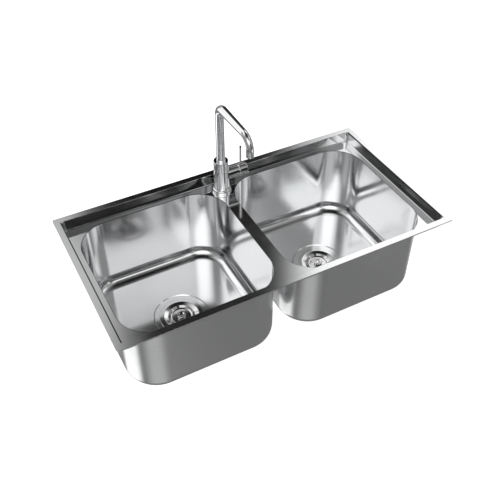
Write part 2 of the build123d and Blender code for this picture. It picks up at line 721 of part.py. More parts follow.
def handle_cap():
    cap = rod(BARREL_R, CAP_RIM, CAP_END)
    cap = fillet(cap.edges().group_by(Axis.Z)[-1], CAP_EDGE_R)
    cap -= Sphere(DOME_R + CAP_GAP)
    cap -= rod(STEM_R + SOCKET_GAP, 0, STEM_LENGTH)
    cap -= Pos(0, 0, LEVER_X) * Rot(0, -90, 0) * rod(LEVER_R + SOCKET_GAP, BARREL_R - LEVER_SEAT, 2 * BARREL_R)
    cap -= Pos(0, 0, GRUB_X) * Rot(0, 90, 0) * rod(GRUB_R + THREAD_GAP, STEM_R, BARREL_R)
    return on_barrel(Pos(0, 0, PIVOT_X) * cap)


def lever_rod():
    lever = rod(LEVER_R, BARREL_R - LEVER_SEAT, LEVER_TOP)
    lever = chamfer(lever.edges().group_by(Axis.Z)[-1], LEVER_EDGE)
    return on_barrel(Pos(0, 0, PIVOT_X + LEVER_X) * Rot(0, -90, 0) * lever)


def grub_screw():
    screw = rod(GRUB_R, STEM_R, BARREL_R - GRUB_INSET)
    socket = Pos(0, 0, BARREL_R - GRUB_INSET - GRUB_R) * extrude(
        RegularPolygon(GRUB_R / 2, 6, major_radius=False), GRUB_R)
    return on_barrel(Pos(0, 0, PIVOT_X + GRUB_X) * Rot(0, 90, 0) * (screw - socket))


# Nodes

SINK_PIECES = [deck_panel, rim_seal]
WASTE_PIECES = [waste_dish, dish_gasket, body_gasket, waste_body, hub_insert, clamp_screw,
                basket, basket_stem, basket_knob, basket_seal]
DECK_PIECES = [base_ring, base_gasket, tap_body, mounting_stud, deck_gasket, horseshoe_plate,
               mounting_nut, glide_ring, spout_sleeve, sleeve_seals, spout_tube, swivel_washer,
               spout_ring_nut, aerator_housing, aerator_washer, aerator_insert]
VALVE_PIECES = [port_gasket, cartridge_base, fixed_disc, moving_disc, disc_carrier,
                cartridge_housing, turret, pivot_pin, stem, cartridge_nut, dome_cover,
                handle_cap, lever_rod, grub_screw]

os.makedirs("parts", exist_ok=True)
for piece in SINK_PIECES + VALVE_PIECES:
    export_step(piece(), f"parts/{piece.__name__}.step")
for piece in DECK_PIECES:
    export_step(on_deck(piece()), f"parts/{piece.__name__}.step")
for name, side in SIDES.items():
    export_step(bowl(side), f"parts/{name}_bowl.step")
    for piece in WASTE_PIECES:
        export_step(at_drain(side, piece()), f"parts/{name}_{piece.__name__}.step")
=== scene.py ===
"""Looks of an inset kitchen sink: two drawn bowls, basket wastes and a single-lever mixer tap."""
import logging
import math
from dataclasses import dataclass
from enum import Enum
from functools import cached_property

import bpy
from mathutils import Matrix, Vector


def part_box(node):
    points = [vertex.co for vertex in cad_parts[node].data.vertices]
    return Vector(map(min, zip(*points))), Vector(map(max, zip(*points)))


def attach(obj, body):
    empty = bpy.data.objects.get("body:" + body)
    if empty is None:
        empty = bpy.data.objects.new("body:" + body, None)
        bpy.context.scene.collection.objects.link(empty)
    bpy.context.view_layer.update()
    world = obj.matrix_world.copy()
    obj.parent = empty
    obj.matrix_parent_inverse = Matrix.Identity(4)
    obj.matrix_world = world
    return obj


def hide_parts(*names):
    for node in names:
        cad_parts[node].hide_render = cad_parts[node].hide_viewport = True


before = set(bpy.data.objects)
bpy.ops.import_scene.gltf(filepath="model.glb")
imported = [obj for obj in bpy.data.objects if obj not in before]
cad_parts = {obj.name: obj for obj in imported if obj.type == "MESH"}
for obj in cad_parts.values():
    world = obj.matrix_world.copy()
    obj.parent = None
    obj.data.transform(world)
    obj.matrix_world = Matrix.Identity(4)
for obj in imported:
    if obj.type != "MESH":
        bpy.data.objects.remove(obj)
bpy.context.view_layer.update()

LOG = logging.getLogger("sink")

Node = bpy.types.Node
Socket = bpy.types.NodeSocket
Sockets = bpy.types.bpy_prop_collection
Tree = bpy.types.NodeTree
Material = bpy.types.Material
Placed = bpy.types.Object
Flat = tuple[float, float]
Point = tuple[float, float, float]
Colour = tuple[float, float, float]
Loop = list[int]


class Side(Enum):
    """The two bowls, as seen by the person at the sink."""

    LEFT = "left"
    RIGHT = "right"


class Grain(Enum):
    """Stretch of the polishing lines along X, Y and Z, in waves per metre."""

    ALONG_X = (6.0, 1400.0, 1400.0)
    AROUND_WALLS = (40.0, 40.0, 2200.0)
    FINE = (900.0, 900.0, 900.0)


# Node helpers and shared effects


class NodeSketch:
    """A node tree under construction, with short calls for nodes and links."""

    def __init__(self, tree: Tree) -> None:
        """Starts on an empty tree."""
        self.tree = tree
        tree.nodes.clear()

    def node(self, kind: str, **settings: object) -> Node:
        """Adds a node.

        Args:
            kind: Blender's node type.
            settings: Properties of the node.

        Returns:
            The new node.
        """
        made = self.tree.nodes.new(kind)
        for key, value in settings.items():
            setattr(made, key, value)
        return made

    def link(self, source: Socket, target: Socket) -> None:
        """Joins an output to an input."""
        self.tree.links.new(source, target)

    def fill(self, made: Node, **values: object) -> Node:
        """Sets or links inputs of a node by their names.

        Args:
            made: The node.
            values: Input name, with _ for a space, to a socket or a value.

        Returns:
            The same node.
        """
        for key, value in values.items():
            self._give(made.inputs[key.replace("_", " ")], value)
        return made

    def group(self, tree: Tree, **values: object) -> Socket:
        """Places a shared effect.

        Args:
            tree: The effect.
            values: Input name, with _ for a space, to a socket or a value.

        Returns:
            The effect's output.
        """
        return self.fill(self.node("ShaderNodeGroup", node_tree=tree), **values).outputs[0]

    def math(self, operation: str, *values: object) -> Socket:
        """Adds a Math node.

        Args:
            operation: Blender's name of the operation.
            values: Sockets or numbers, as many as the operation takes.

        Returns:
            The node's output.
        """
        return self._feed(self.node("ShaderNodeMath", operation=operation), values).outputs[0]

    def vector(self, operation: str, *values: object) -> Socket:
        """Adds a Vector Math node that gives a vector.

        Args:
            operation: Blender's name of the operation.
            values: Sockets or vectors, as many as the operation takes.

        Returns:
            The vector.
        """
        made = self._feed(self.node("ShaderNodeVectorMath", operation=operation), values)
        return made.outputs["Vector"]

    def measure(self, operation: str, *values: object) -> Socket:
        """Adds a Vector Math node that gives a number.

        Args:
            operation: Blender's name of the operation.
            values: Sockets or vectors, as many as the operation takes.

        Returns:
            The number.
        """
        made = self._feed(self.node("ShaderNodeVectorMath", operation=operation), values)
        return made.outputs["Value"]

    def apart(self, source: Socket) -> Sockets:
        """Splits a vector and gives its X, Y and Z."""
        return self._feed(self.node("ShaderNodeSeparateXYZ"), (source,)).outputs

    def smooth(self, value: Socket, low: object, high: object, to_low: float = 0.0,
               to_high: float = 1.0) -> Socket:
        """Adds a smooth step.

        Args:
            value: Socket to step on.
            low: Socket or number where the step starts.
            high: Socket or number where it ends.
            to_low: Value before the step.
            to_high: Value after it.

        Returns:
            The stepped value.
        """
        made = self.node("ShaderNodeMapRange", interpolation_type="SMOOTHSTEP")
        return self._feed(made, (value, low, high, to_low, to_high)).outputs[0]

    def noise(self, **values: object) -> Socket:
        """Adds a Noise texture with the given inputs and gives its value."""
        return self.fill(self.node("ShaderNodeTexNoise"), **values).outputs[0]

    def mix(self, factor: Socket, first: object, second: object) -> Socket:
        """Adds a mix of two colours.

        Args:
            factor: Share of the second colour.
            first: Socket or colour.
            second: Socket or colour.

        Returns:
            The mixed colour.
        """
        made = self.node("ShaderNodeMix", data_type="RGBA")
        return self.fill(made, Factor=factor, A=first, B=second).outputs["Result"]

    def bump(self, height: Socket, depth: float, normal: Socket | None = None) -> Socket:
        """Adds relief.

        Args:
            height: Height over the surface, from 0 to 1.
            depth: Real height of 1, in metres.
            normal: Normal that is bent already, if there is one.

        Returns:
            The bent normal.
        """
        made = self.fill(self.node("ShaderNodeBump"), Strength=1.0, Distance=depth, Height=height)
        if normal:
            self.fill(made, Normal=normal)
        return made.outputs[0]

    def _feed(self, made: Node, values: tuple[object, ...]) -> Node:
        """Sets or links a node's first inputs.

        Args:
            made: The node.
            values: Sockets or values, in the order of the inputs.

        Returns:
            The same node.
        """
        for target, value in zip(made.inputs, values):
            self._give(target, value)
        return made

    def _give(self, target: Socket, value: object) -> None:
        """Links or sets one input.

        Args:
            target: The input.
            value: A socket to link, or a plain value.
        """
        if isinstance(value, Socket):
            self.link(value, target)
        else:
            target.default_value = value


class Effects:
    """Shader node groups that several finishes share, each built at its first use."""

    LINE_DETAIL = 3.0
    LINE_ROUGHNESS = 0.6
    WAVE_DETAIL = 1.0
    WAVE_ROUGHNESS = 0.35
    MARK_DETAIL = 4.0
    MARK_RANGE = (0.42, 0.72)
    GRAZING = 0.02

    def _start(self, name: str, vectors: tuple[str, ...], numbers: tuple[str, ...],
               output: str) -> tuple[NodeSketch, Sockets, Socket]:
        """Opens a new group that puts out one number.

        Args:
            name: The group's name.
            vectors: Names of the inputs that are vectors.
            numbers: Names of the inputs that are numbers.
            output: Name of the output.

        Returns:
            The sketch of the group, what it is given and where its result goes.
        """
        tree = bpy.data.node_groups.new(name, "ShaderNodeTree")
        for kind, labels in (("NodeSocketVector", vectors), ("NodeSocketFloat", numbers)):
            for label in labels:
                tree.interface.new_socket(label, in_out="INPUT", socket_type=kind)
        tree.interface.new_socket(output, in_out="OUTPUT", socket_type="NodeSocketFloat")
        sketch = NodeSketch(tree)
        given, put = sketch.node("NodeGroupInput"), sketch.node("NodeGroupOutput")
        return sketch, given.outputs, put.inputs[output]

    @cached_property
    def grain(self) -> Tree:
        """Polishing lines, which are noise stretched along one direction.

        Returns:
            The group.
        """
        sketch, given, result = self._start(
            "polishing_lines", ("Coordinates", "Stretch"), (), "Lines")
        placed = sketch.vector("MULTIPLY", given["Coordinates"], given["Stretch"])
        lines = sketch.noise(
            Vector=placed, Scale=1.0, Detail=self.LINE_DETAIL, Roughness=self.LINE_ROUGHNESS)
        sketch.link(lines, result)
        return sketch.tree

    @cached_property
    def sheet_waves(self) -> Tree:
        """Slow unevenness that a press leaves in drawn sheet.

        Returns:
            The group.
        """
        sketch, given, result = self._start("sheet_waves", ("Coordinates",), ("Waves",), "Height")
        height = sketch.noise(
            Vector=given["Coordinates"], Scale=given["Waves"], Detail=self.WAVE_DETAIL,
            Roughness=self.WAVE_ROUGHNESS)
        sketch.link(height, result)
        return sketch.tree

    @cached_property
    def handling(self) -> Tree:
        """Faint dulling where hands and water have been.

        Returns:
            The group.
        """
        sketch, given, result = self._start(
            "handling_marks", ("Coordinates",), ("Patches",), "Dulling")
        broad = sketch.noise(
            Vector=given["Coordinates"], Scale=given["Patches"], Detail=self.MARK_DETAIL)
        sketch.link(sketch.smooth(broad, *self.MARK_RANGE), result)
        return sketch.tree

    @cached_property
    def upright_band(self) -> Tree:
        """Mask of a band between two rectangles in plan and two heights, with a fade.

        Returns:
            The group.
        """
        sketch, given, result = self._start(
            "upright_band", ("Coordinates", "Inner", "Outer", "Along"),
            ("Low", "High", "Soft Edge", "Fade From", "Fade To"), "Band")
        size = sketch.vector("ABSOLUTE", given["Coordinates"])
        beyond = sketch.apart(sketch.vector("SUBTRACT", size, given["Inner"]))
        within = sketch.apart(sketch.vector("SUBTRACT", given["Outer"], size))
        height = sketch.apart(given["Coordinates"])[2]
        sides = (sketch.math("MAXIMUM", beyond[0], beyond[1]),
                 sketch.math("MINIMUM", within[0], within[1]),
                 sketch.math("SUBTRACT", height, given["Low"]),
                 sketch.math("SUBTRACT", given["High"], height))
        along = sketch.measure("DOT_PRODUCT", given["Coordinates"], given["Along"])
        band = sketch.smooth(along, given["Fade From"], given["Fade To"], 1.0, 0.0)
        for side in sides:
            band = sketch.math("MULTIPLY", sketch.smooth(side, 0.0, given["Soft Edge"]), band)
        sketch.link(band, result)
        return sketch.tree

    @cached_property
    def mouth_line(self) -> Tree:
        """Mask of the bent edge round an opening with rounded corners, and of its mirror image,
        where a dark reflection is painted.

        Returns:
            The group.
        """
        sketch, given, result = self._start(
            "mouth_line", ("Coordinates", "Centre", "Straight"), ("Corner", "Width"), "Line")
        level = sketch.vector("MULTIPLY", given["Coordinates"], (1.0, 1.0, 0.0))
        aside = sketch.vector("SUBTRACT", sketch.vector("ABSOLUTE", level), given["Centre"])
        past = sketch.vector("SUBTRACT", sketch.vector("ABSOLUTE", aside), given["Straight"])
        reach = sketch.measure("LENGTH", sketch.vector("MAXIMUM", past, (0.0, 0.0, 0.0)))
        off = sketch.math("ABSOLUTE", sketch.math("SUBTRACT", reach, given["Corner"]))
        sketch.link(sketch.smooth(off, 0.0, given["Width"], 1.0, 0.0), result)
        return sketch.tree

    @cached_property
    def panel(self) -> Tree:
        """A soft rectangular light panel at a great distance, for the studio's surroundings.

        Returns:
            The group.
        """
        sketch, given, result = self._start(
            "soft_panel", ("Direction", "Facing", "Right", "Up"),
            ("Half Width", "Half Height", "Soft Edge", "Level"), "Light")
        direction = given["Direction"]
        ahead = sketch.measure("DOT_PRODUCT", direction, given["Facing"])
        reach = sketch.math("MAXIMUM", ahead, self.GRAZING)
        in_front = sketch.math("GREATER_THAN", ahead, self.GRAZING)
        light = sketch.math("MULTIPLY", in_front, given["Level"])
        for along, half in (("Right", "Half Width"), ("Up", "Half Height")):
            shift = sketch.measure("DOT_PRODUCT", direction, given[along])
            place = sketch.math("ABSOLUTE", sketch.math("DIVIDE", shift, reach))
            low = sketch.math("SUBTRACT", given[half], given["Soft Edge"])
            high = sketch.math("ADD", given[half], given["Soft Edge"])
            light = sketch.math("MULTIPLY", light, sketch.smooth(place, low, high, 1.0, 0.0))
        sketch.link(light, result)
        return sketch.tree


EFFECTS = Effects()


# Finishes

# A length in metres that is beyond the whole sink, for a limit that is never met.
FAR = 1.0


@dataclass(frozen=True)
class DarkBand:
    """A band of a piece with a darker colour and a higher roughness, between two rectangles in plan
    and two heights.

    It fades out along a direction, between two distances from the origin. On the sink's recess
    walls and fold the darker colour is painted shade; on the lever it darkens the rod's tip.
    """

    inner: Point
    outer: Point
    low: float
    high: float
    tint: Colour
    roughness: float
    edge: float = 0.0015
    along: Point = (1.0, 0.0, 0.0)
    fade: Flat = (FAR, 2 * FAR)


@dataclass(frozen=True)
class MouthShade:
    """Painted dark reflection on the bent edge round two mirrored openings: middle, half sides,
    corner and width.
    """

    centre: Point
    straight: Point
    corner: float
    width: float
    tint: Colour


@dataclass(frozen=True)
class Finish:
    """A surface finish, made as a Blender material at its first use."""

    name: str
    tint: Colour
    roughness: float

    def material(self) -> Material:
        """The finish as a Blender material.

        Returns:
            The material, which all pieces with this finish share.
        """
        known = bpy.data.materials.get(self.name)
        if known:
            return known
        made = bpy.data.materials.new(self.name)
        made.use_nodes = True
        sketch = NodeSketch(made.node_tree)
        put = sketch.node("ShaderNodeOutputMaterial")
        shader = sketch.node("ShaderNodeBsdfPrincipled")
        sketch.link(shader.outputs[0], put.inputs[0])
        self._draw(sketch, shader, sketch.node("ShaderNodeTexCoord").outputs["Object"])
        return made

    def _draw(self, sketch: NodeSketch, shader: Node, where: Socket) -> None:
        """Draws the nodes of one kind of finish, which each kind does in its own way."""
        raise NotImplementedError

    def _varied(self, sketch: NodeSketch, spread: float, factor: Socket) -> Socket:
        """Varies the tint over the surface.

        Args:
            sketch: The material's sketch.
            spread: Share by which the tint gets darker and lighter.
            factor: Mask from dark to light.

        Returns:
            The varied tint.
        """
        darker = (*[c * (1 - spread) for c in self.tint], 1)
        lighter = (*[min(1, c * (1 + spread)) for c in self.tint], 1)
        return sketch.mix(factor, darker, lighter)


@dataclass(frozen=True)
class MetalFinish(Finish):
    """A bare metal surface with polishing lines, sheet waves and faint dulling, plus any darker
    bands and painted mouth reflection it is given.
    """

    grain: Grain = Grain.FINE
    grain_tone: float = 0.05
    grain_rough: float = 0.05
    grain_depth: float = 0.0
    wave_depth: float = 0.0
    waves: float = 9.0
    dulling: float = 0.03
    patches: float = 14.0
    bands: tuple[DarkBand, ...] = ()
    mouth: MouthShade | None = None

    def _draw(self, sketch: NodeSketch, shader: Node, where: Socket) -> None:
        """Draws the metal.

        Args:
            sketch: The material's sketch.
            shader: Its surface shader.
            where: Coordinates on the object.
        """
        lines = sketch.group(EFFECTS.grain, Coordinates=where, Stretch=self.grain.value)
        marks = sketch.group(EFFECTS.handling, Coordinates=where, Patches=self.patches)
        colour = self._varied(sketch, self.grain_tone, lines)
        smoothest = self.roughness - self.grain_rough / 2
        rough = sketch.math("MULTIPLY_ADD", lines, self.grain_rough, smoothest)
        # Darker bands: painted shade on the deck's recess walls and fold, and a darker tip on the
        # lever.
        for band in self.bands:
            mask = sketch.group(
                EFFECTS.upright_band, Coordinates=where, Inner=band.inner, Outer=band.outer,
                Low=band.low, High=band.high, Soft_Edge=band.edge, Along=band.along,
                Fade_From=band.fade[0], Fade_To=band.fade[1])
            colour = sketch.mix(mask, colour, (*band.tint, 1))
            rough = sketch.math("MULTIPLY_ADD", mask, band.roughness - self.roughness, rough)
        # Painted dark reflection on the deck's rounded edge round the bowl openings.
        if self.mouth:
            mask = sketch.group(
                EFFECTS.mouth_line, Coordinates=where, Centre=self.mouth.centre,
                Straight=self.mouth.straight, Corner=self.mouth.corner, Width=self.mouth.width)
            colour = sketch.mix(mask, colour, (*self.mouth.tint, 1))
        rough = sketch.math("MULTIPLY_ADD", marks, self.dulling, rough)
        sketch.fill(shader, Metallic=1.0, Base_Color=colour, Roughness=rough)
        normal = self._relief(sketch, where, lines)
        if normal:
            sketch.fill(shader, Normal=normal)

    def _relief(self, sketch: NodeSketch, where: Socket, lines: Socket) -> Socket | None:
        """Adds the relief of the sheet and of the polishing lines.

        Args:
            sketch: The material's sketch.
            where: Coordinates on the object.
            lines: The polishing lines.

        Returns:
            The bent normal, or None where the surface has no relief.
        """
        normal = None
        if self.wave_depth:
            waves = sketch.group(EFFECTS.sheet_waves, Coordinates=where, Waves=self.waves)
            normal = sketch.bump(waves, self.wave_depth)
        if self.grain_depth:
            normal = sketch.bump(lines, self.grain_depth, normal)
        return normal


@dataclass(frozen=True)
class MouldedFinish(Finish):
    """Plastic, rubber or ceramic with a fine moulded texture."""

    mottling: float = 0.06
    speck: float = 700.0
    depth: float = 0.00003
    dulling: float = 0.12
    patches: float = 30.0

    def _draw(self, sketch: NodeSketch, shader: Node, where: Socket) -> None:
        """Draws the moulded surface.

        Args:
            sketch: The material's sketch.
            shader: Its surface shader.
            where: Coordinates on the object.
        """
        grit = sketch.group(EFFECTS.grain, Coordinates=where, Stretch=(self.speck,) * 3)
        marks = sketch.group(EFFECTS.handling, Coordinates=where, Patches=self.patches)
        sketch.fill(
            shader, Base_Color=self._varied(sketch, self.mottling, grit),
            Roughness=sketch.math("MULTIPLY_ADD", marks, self.dulling, self.roughness),
            Normal=sketch.bump(grit, self.depth))


# Painted shade: the recess's upright walls get a dark colour that stands in for the dark
# reflections on them, fading out where they catch light, together with a higher roughness.
WALL_SHADE_TINT = (0.26, 0.261, 0.263)
WALL_ROUGHNESS = 0.14
WALL_FOOT, WALL_HEAD = -0.0245, 0.002
WALL_OUTER = (0.41, 0.21, 0.0)
BACK_WALL_SHADE = DarkBand(
    inner=(FAR, 0.1985, 0.0), outer=WALL_OUTER, low=WALL_FOOT, high=WALL_HEAD,
    tint=WALL_SHADE_TINT, roughness=WALL_ROUGHNESS, fade=(0.29, 0.36))
END_WALL_SHADE = DarkBand(
    inner=(0.3985, FAR, 0.0), outer=WALL_OUTER, low=WALL_FOOT, high=WALL_HEAD,
    tint=WALL_SHADE_TINT, roughness=WALL_ROUGHNESS, along=(0.0, 1.0, 0.0), fade=(0.12, 0.165))
# Painted shadow and dark reflection: a near-black line along the rounded fold where the flange
# turns down into the recess.
RECESS_FOLD_SHADE = DarkBand(
    inner=(0.4027, FAR, 0.0), outer=(0.4058, 0.203, 0.0), low=0.0, high=0.01,
    tint=(0.05, 0.05, 0.052), roughness=0.2, edge=0.0004)
# Painted dark reflection along the deck's rounded edge round both bowl openings.
BOWL_MOUTH_SHADE = MouthShade(
    centre=(0.2005, 0.0, 0.0), straight=(0.105, 0.107, 0.0), corner=0.08, width=0.0018,
    tint=(0.1, 0.1, 0.102))
LEVER_TIP = DarkBand(
    inner=(0.0, 0.0, 0.0), outer=(FAR, FAR, 0.0), low=0.0886, high=0.1,
    tint=(0.03, 0.03, 0.032), roughness=0.3, edge=0.0006)

DECK_STEEL = MetalFinish(
    "deck_steel", (0.80, 0.805, 0.81), 0.09, Grain.ALONG_X, grain_tone=0.03, grain_rough=0.04,
    grain_depth=0.000002, wave_depth=0.00004, waves=7.0,
    bands=(BACK_WALL_SHADE, END_WALL_SHADE, RECESS_FOLD_SHADE), mouth=BOWL_MOUTH_SHADE)
INSIDE_STEEL = MetalFinish(
    "bowl_inside_steel", (0.80, 0.805, 0.81), 0.12, grain_tone=0.02, grain_rough=0.04,
    wave_depth=0.0002, waves=6.0)
OUTSIDE_STEEL = MetalFinish(
    "bowl_outside_steel", (0.72, 0.725, 0.73), 0.24, Grain.AROUND_WALLS, grain_tone=0.01,
    grain_rough=0.04, wave_depth=0.0003, waves=7.0)
WASTE_STEEL = MetalFinish(
    "waste_steel", (0.74, 0.74, 0.745), 0.09, grain_tone=0.02, grain_rough=0.03,
    wave_depth=0.0001, waves=40.0)
PLAIN_STEEL = MetalFinish(
    "fixing_steel", (0.56, 0.56, 0.57), 0.34, grain_tone=0.08, grain_rough=0.08,
    grain_depth=0.000005)
TAP_CHROME = MetalFinish(
    "tap_chrome", (0.86, 0.865, 0.87), 0.045, grain_tone=0.01, grain_rough=0.01,
    dulling=0.02, patches=40.0)
LEVER_CHROME = MetalFinish(
    "lever_chrome", (0.5, 0.503, 0.506), 0.12, grain_tone=0.01, grain_rough=0.01,
    dulling=0.02, patches=40.0, bands=(LEVER_TIP,))
VALVE_BRASS = MetalFinish(
    "valve_brass", (0.72, 0.55, 0.27), 0.28, grain_tone=0.06, grain_rough=0.06,
    grain_depth=0.000004)
SEAL_RUBBER = MouldedFinish(
    "seal_rubber", (0.022, 0.022, 0.023), 0.62, mottling=0.2, speck=900.0, depth=0.00004)
VALVE_PLASTIC = MouldedFinish("valve_plastic", (0.30, 0.31, 0.32), 0.45)
WASTE_PLASTIC = MouldedFinish(
    "waste_plastic", (0.80, 0.80, 0.785), 0.40, mottling=0.03, speck=600.0, depth=0.00002)
DISC_CERAMIC = MouldedFinish(
    "disc_ceramic", (0.86, 0.85, 0.81), 0.12, mottling=0.02, speck=300.0, depth=0.00001)


# Mesh building


def rounded_loop(width: float, length: float, radius: float, centre: Flat, steps: int = 20,
                 spans: int = 10) -> list[Flat]:
    """Plan of a rounded rectangle.

    Args:
        width: Size along X.
        length: Size along Y.
        radius: Corner radius.
        centre: Middle of the rectangle.
        steps: Segments in each corner.
        spans: Segments in each straight side.

    Returns:
        Points in order, counter-clockwise from the upper end of the right side.
    """
    x, y = width / 2 - radius, length / 2 - radius
    corners = [(x, y, 0), (-x, y, 90), (-x, -y, 180), (x, -y, 270)]
    arcs = []
    for cx, cy, start in corners:
        turn = [math.radians(start + 90 * i / steps) for i in range(steps + 1)]
        arcs.append([(cx + radius * math.cos(a), cy + radius * math.sin(a)) for a in turn])
    points = []
    for i, arc in enumerate(arcs):
        points += arc
        (ax, ay), (bx, by) = arc[-1], arcs[(i + 1) % 4][0]
        points += [(ax + (bx - ax) * k / spans, ay + (by - ay) * k / spans)
                   for k in range(1, spans)]
    return [(centre[0] + px, centre[1] + py) for px, py in points]


@dataclass(frozen=True)
class Thread:
    """A screw thread on an upright rod.

    It has a crest radius, a depth, a pitch and the heights between which it is cut.
    """

    crest: float
    depth: float
    pitch: float
    low: float
    high: float
    rows_per_turn: int = 8
    flat: float = 0.12

    def heights(self) -> list[float]:
        """Heights of the rows of points, from the top down."""
        count = math.ceil((self.high - self.low) / self.pitch * self.rows_per_turn)
        return [self.high - (self.high - self.low) * i / count for i in range(count + 1)]

    def radius(self, height: float, turn: float) -> float:
        """Radius of the thread.

        Args:
            height: Height on the rod.
            turn: Angle round the rod, in whole turns.

        Returns:
            The radius, which runs out to the crest at both ends.
        """
        wave = abs(((height / self.pitch - turn) % 1.0) * 2 - 1)
        cut = min(1.0, max(0.0, (wave - self.flat) / (1 - 2 * self.flat)))
        ends = min(height - self.low, self.high - height) / self.pitch
        return self.crest - self.depth * cut * min(1.0, max(0.0, ends))


class Piece:
    """A mesh in the making, built from closed loops of points."""

    CRISP_ANGLE = 35.0
    FLAT_WEIGHT = 90

    def __init__(self, name: str) -> None:
        """Starts an empty mesh.

        Args:
            name: The piece's name.
        """
        self.name = name
        self.points: list[Point] = []
        self.faces: list[Loop] = []
        self.slots: list[int] = []

    def loop(self, plan: list[Flat], height: float) -> Loop:
        """Adds a level loop.

        Args:
            plan: Points in plan.
            height: Height of the loop.

        Returns:
            The numbers of its vertices.
        """
        first = len(self.points)
        self.points += [(x, y, height) for x, y in plan]
        return list(range(first, len(self.points)))

    def bridge(self, lower: Loop, upper: Loop, slot: int = 0) -> None:
        """Closes the wall between two loops of equal count with quads.

        Args:
            lower: First loop.
            upper: Second loop.
            slot: Material slot of the wall.
        """
        count = len(lower)
        for i in range(count):
            j = (i + 1) % count
            self.faces.append([lower[i], lower[j], upper[j], upper[i]])
            self.slots.append(slot)

    def turned(self, profile: list[Flat], axis: Flat, segments: int,
               thread: Thread | None = None, hollow: bool = True) -> None:
        """Adds a closed solid of revolution about an upright axis.

        Args:
            profile: Radius and height of each corner, down the outside and up the inside.
            axis: Place of the axis in plan.
            segments: Points in each ring.
            thread: Thread to cut where the profile runs straight down its crest.
            hollow: Whether the profile closes on itself round a bore, or ends in two flat faces.
        """
        turns = [i / segments for i in range(segments)]
        rings = []
        for (r, z), (after, below) in zip(profile, profile[1:] + profile[:1]):
            rings.append(([r] * segments, z))
            if thread and r == after == thread.crest and z > below:
                rings += [([thread.radius(h, t) for t in turns], h) for h in thread.heights()]
        loops = []
        for radii, z in rings:
            plan = [(axis[0] + r * math.cos(2 * math.pi * t),
                     axis[1] + r * math.sin(2 * math.pi * t)) for r, t in zip(radii, turns)]
            loops.append(self.loop(plan, z))
        if hollow:
            loops.append(loops[0])
        else:
            self.faces += [loops[0], loops[-1][::-1]]
            self.slots += [0, 0]
        self.skin(loops[::-1])

    def block(self, low: Point, high: Point, turn: float, axis: Flat) -> None:
        """Adds a box turned about an upright axis.

        Args:
            low: Lowest corner, measured from the axis before turning.
            high: Highest corner.
            turn: Angle in radians.
            axis: Place of the axis in plan.
        """
        c, s = math.cos(turn), math.sin(turn)
        corners = [(low[0], low[1]), (high[0], low[1]), (high[0], high[1]), (low[0], high[1])]
        plan = [(axis[0] + x * c - y * s, axis[1] + x * s + y * c) for x, y in corners]
        lower, upper = self.loop(plan, low[2]), self.loop(plan, high[2])
        self.bridge(lower, upper)
        self.faces += [lower[::-1], upper]
        self.slots += [0, 0]

    def skin(self, loops: list[Loop], slot: int = 0) -> None:
        """Closes the walls through a row of loops."""
        for lower, upper in zip(loops, loops[1:]):
            self.bridge(lower, upper, slot)

    def build(self, materials: list[Material]) -> Placed:
        """Makes the Blender object.

        Args:
            materials: The piece's material slots.

        Returns:
            The object, linked to the scene.
        """
        mesh = bpy.data.meshes.new(self.name)
        mesh.from_pydata(self.points, [], self.faces)
        for polygon, slot in zip(mesh.polygons, self.slots):
            polygon.material_index = slot
            polygon.use_smooth = True
        for material in materials:
            mesh.materials.append(material)
        mesh.update()
        mesh.set_sharp_from_angle(angle=math.radians(self.CRISP_ANGLE))
        made = bpy.data.objects.new(self.name, mesh)
        bpy.context.scene.collection.objects.link(made)
        weigh = made.modifiers.new("even_flats", "WEIGHTED_NORMAL")
        weigh.keep_sharp = True
        weigh.weight = self.FLAT_WEIGHT
        return made


# Sub-assemblies


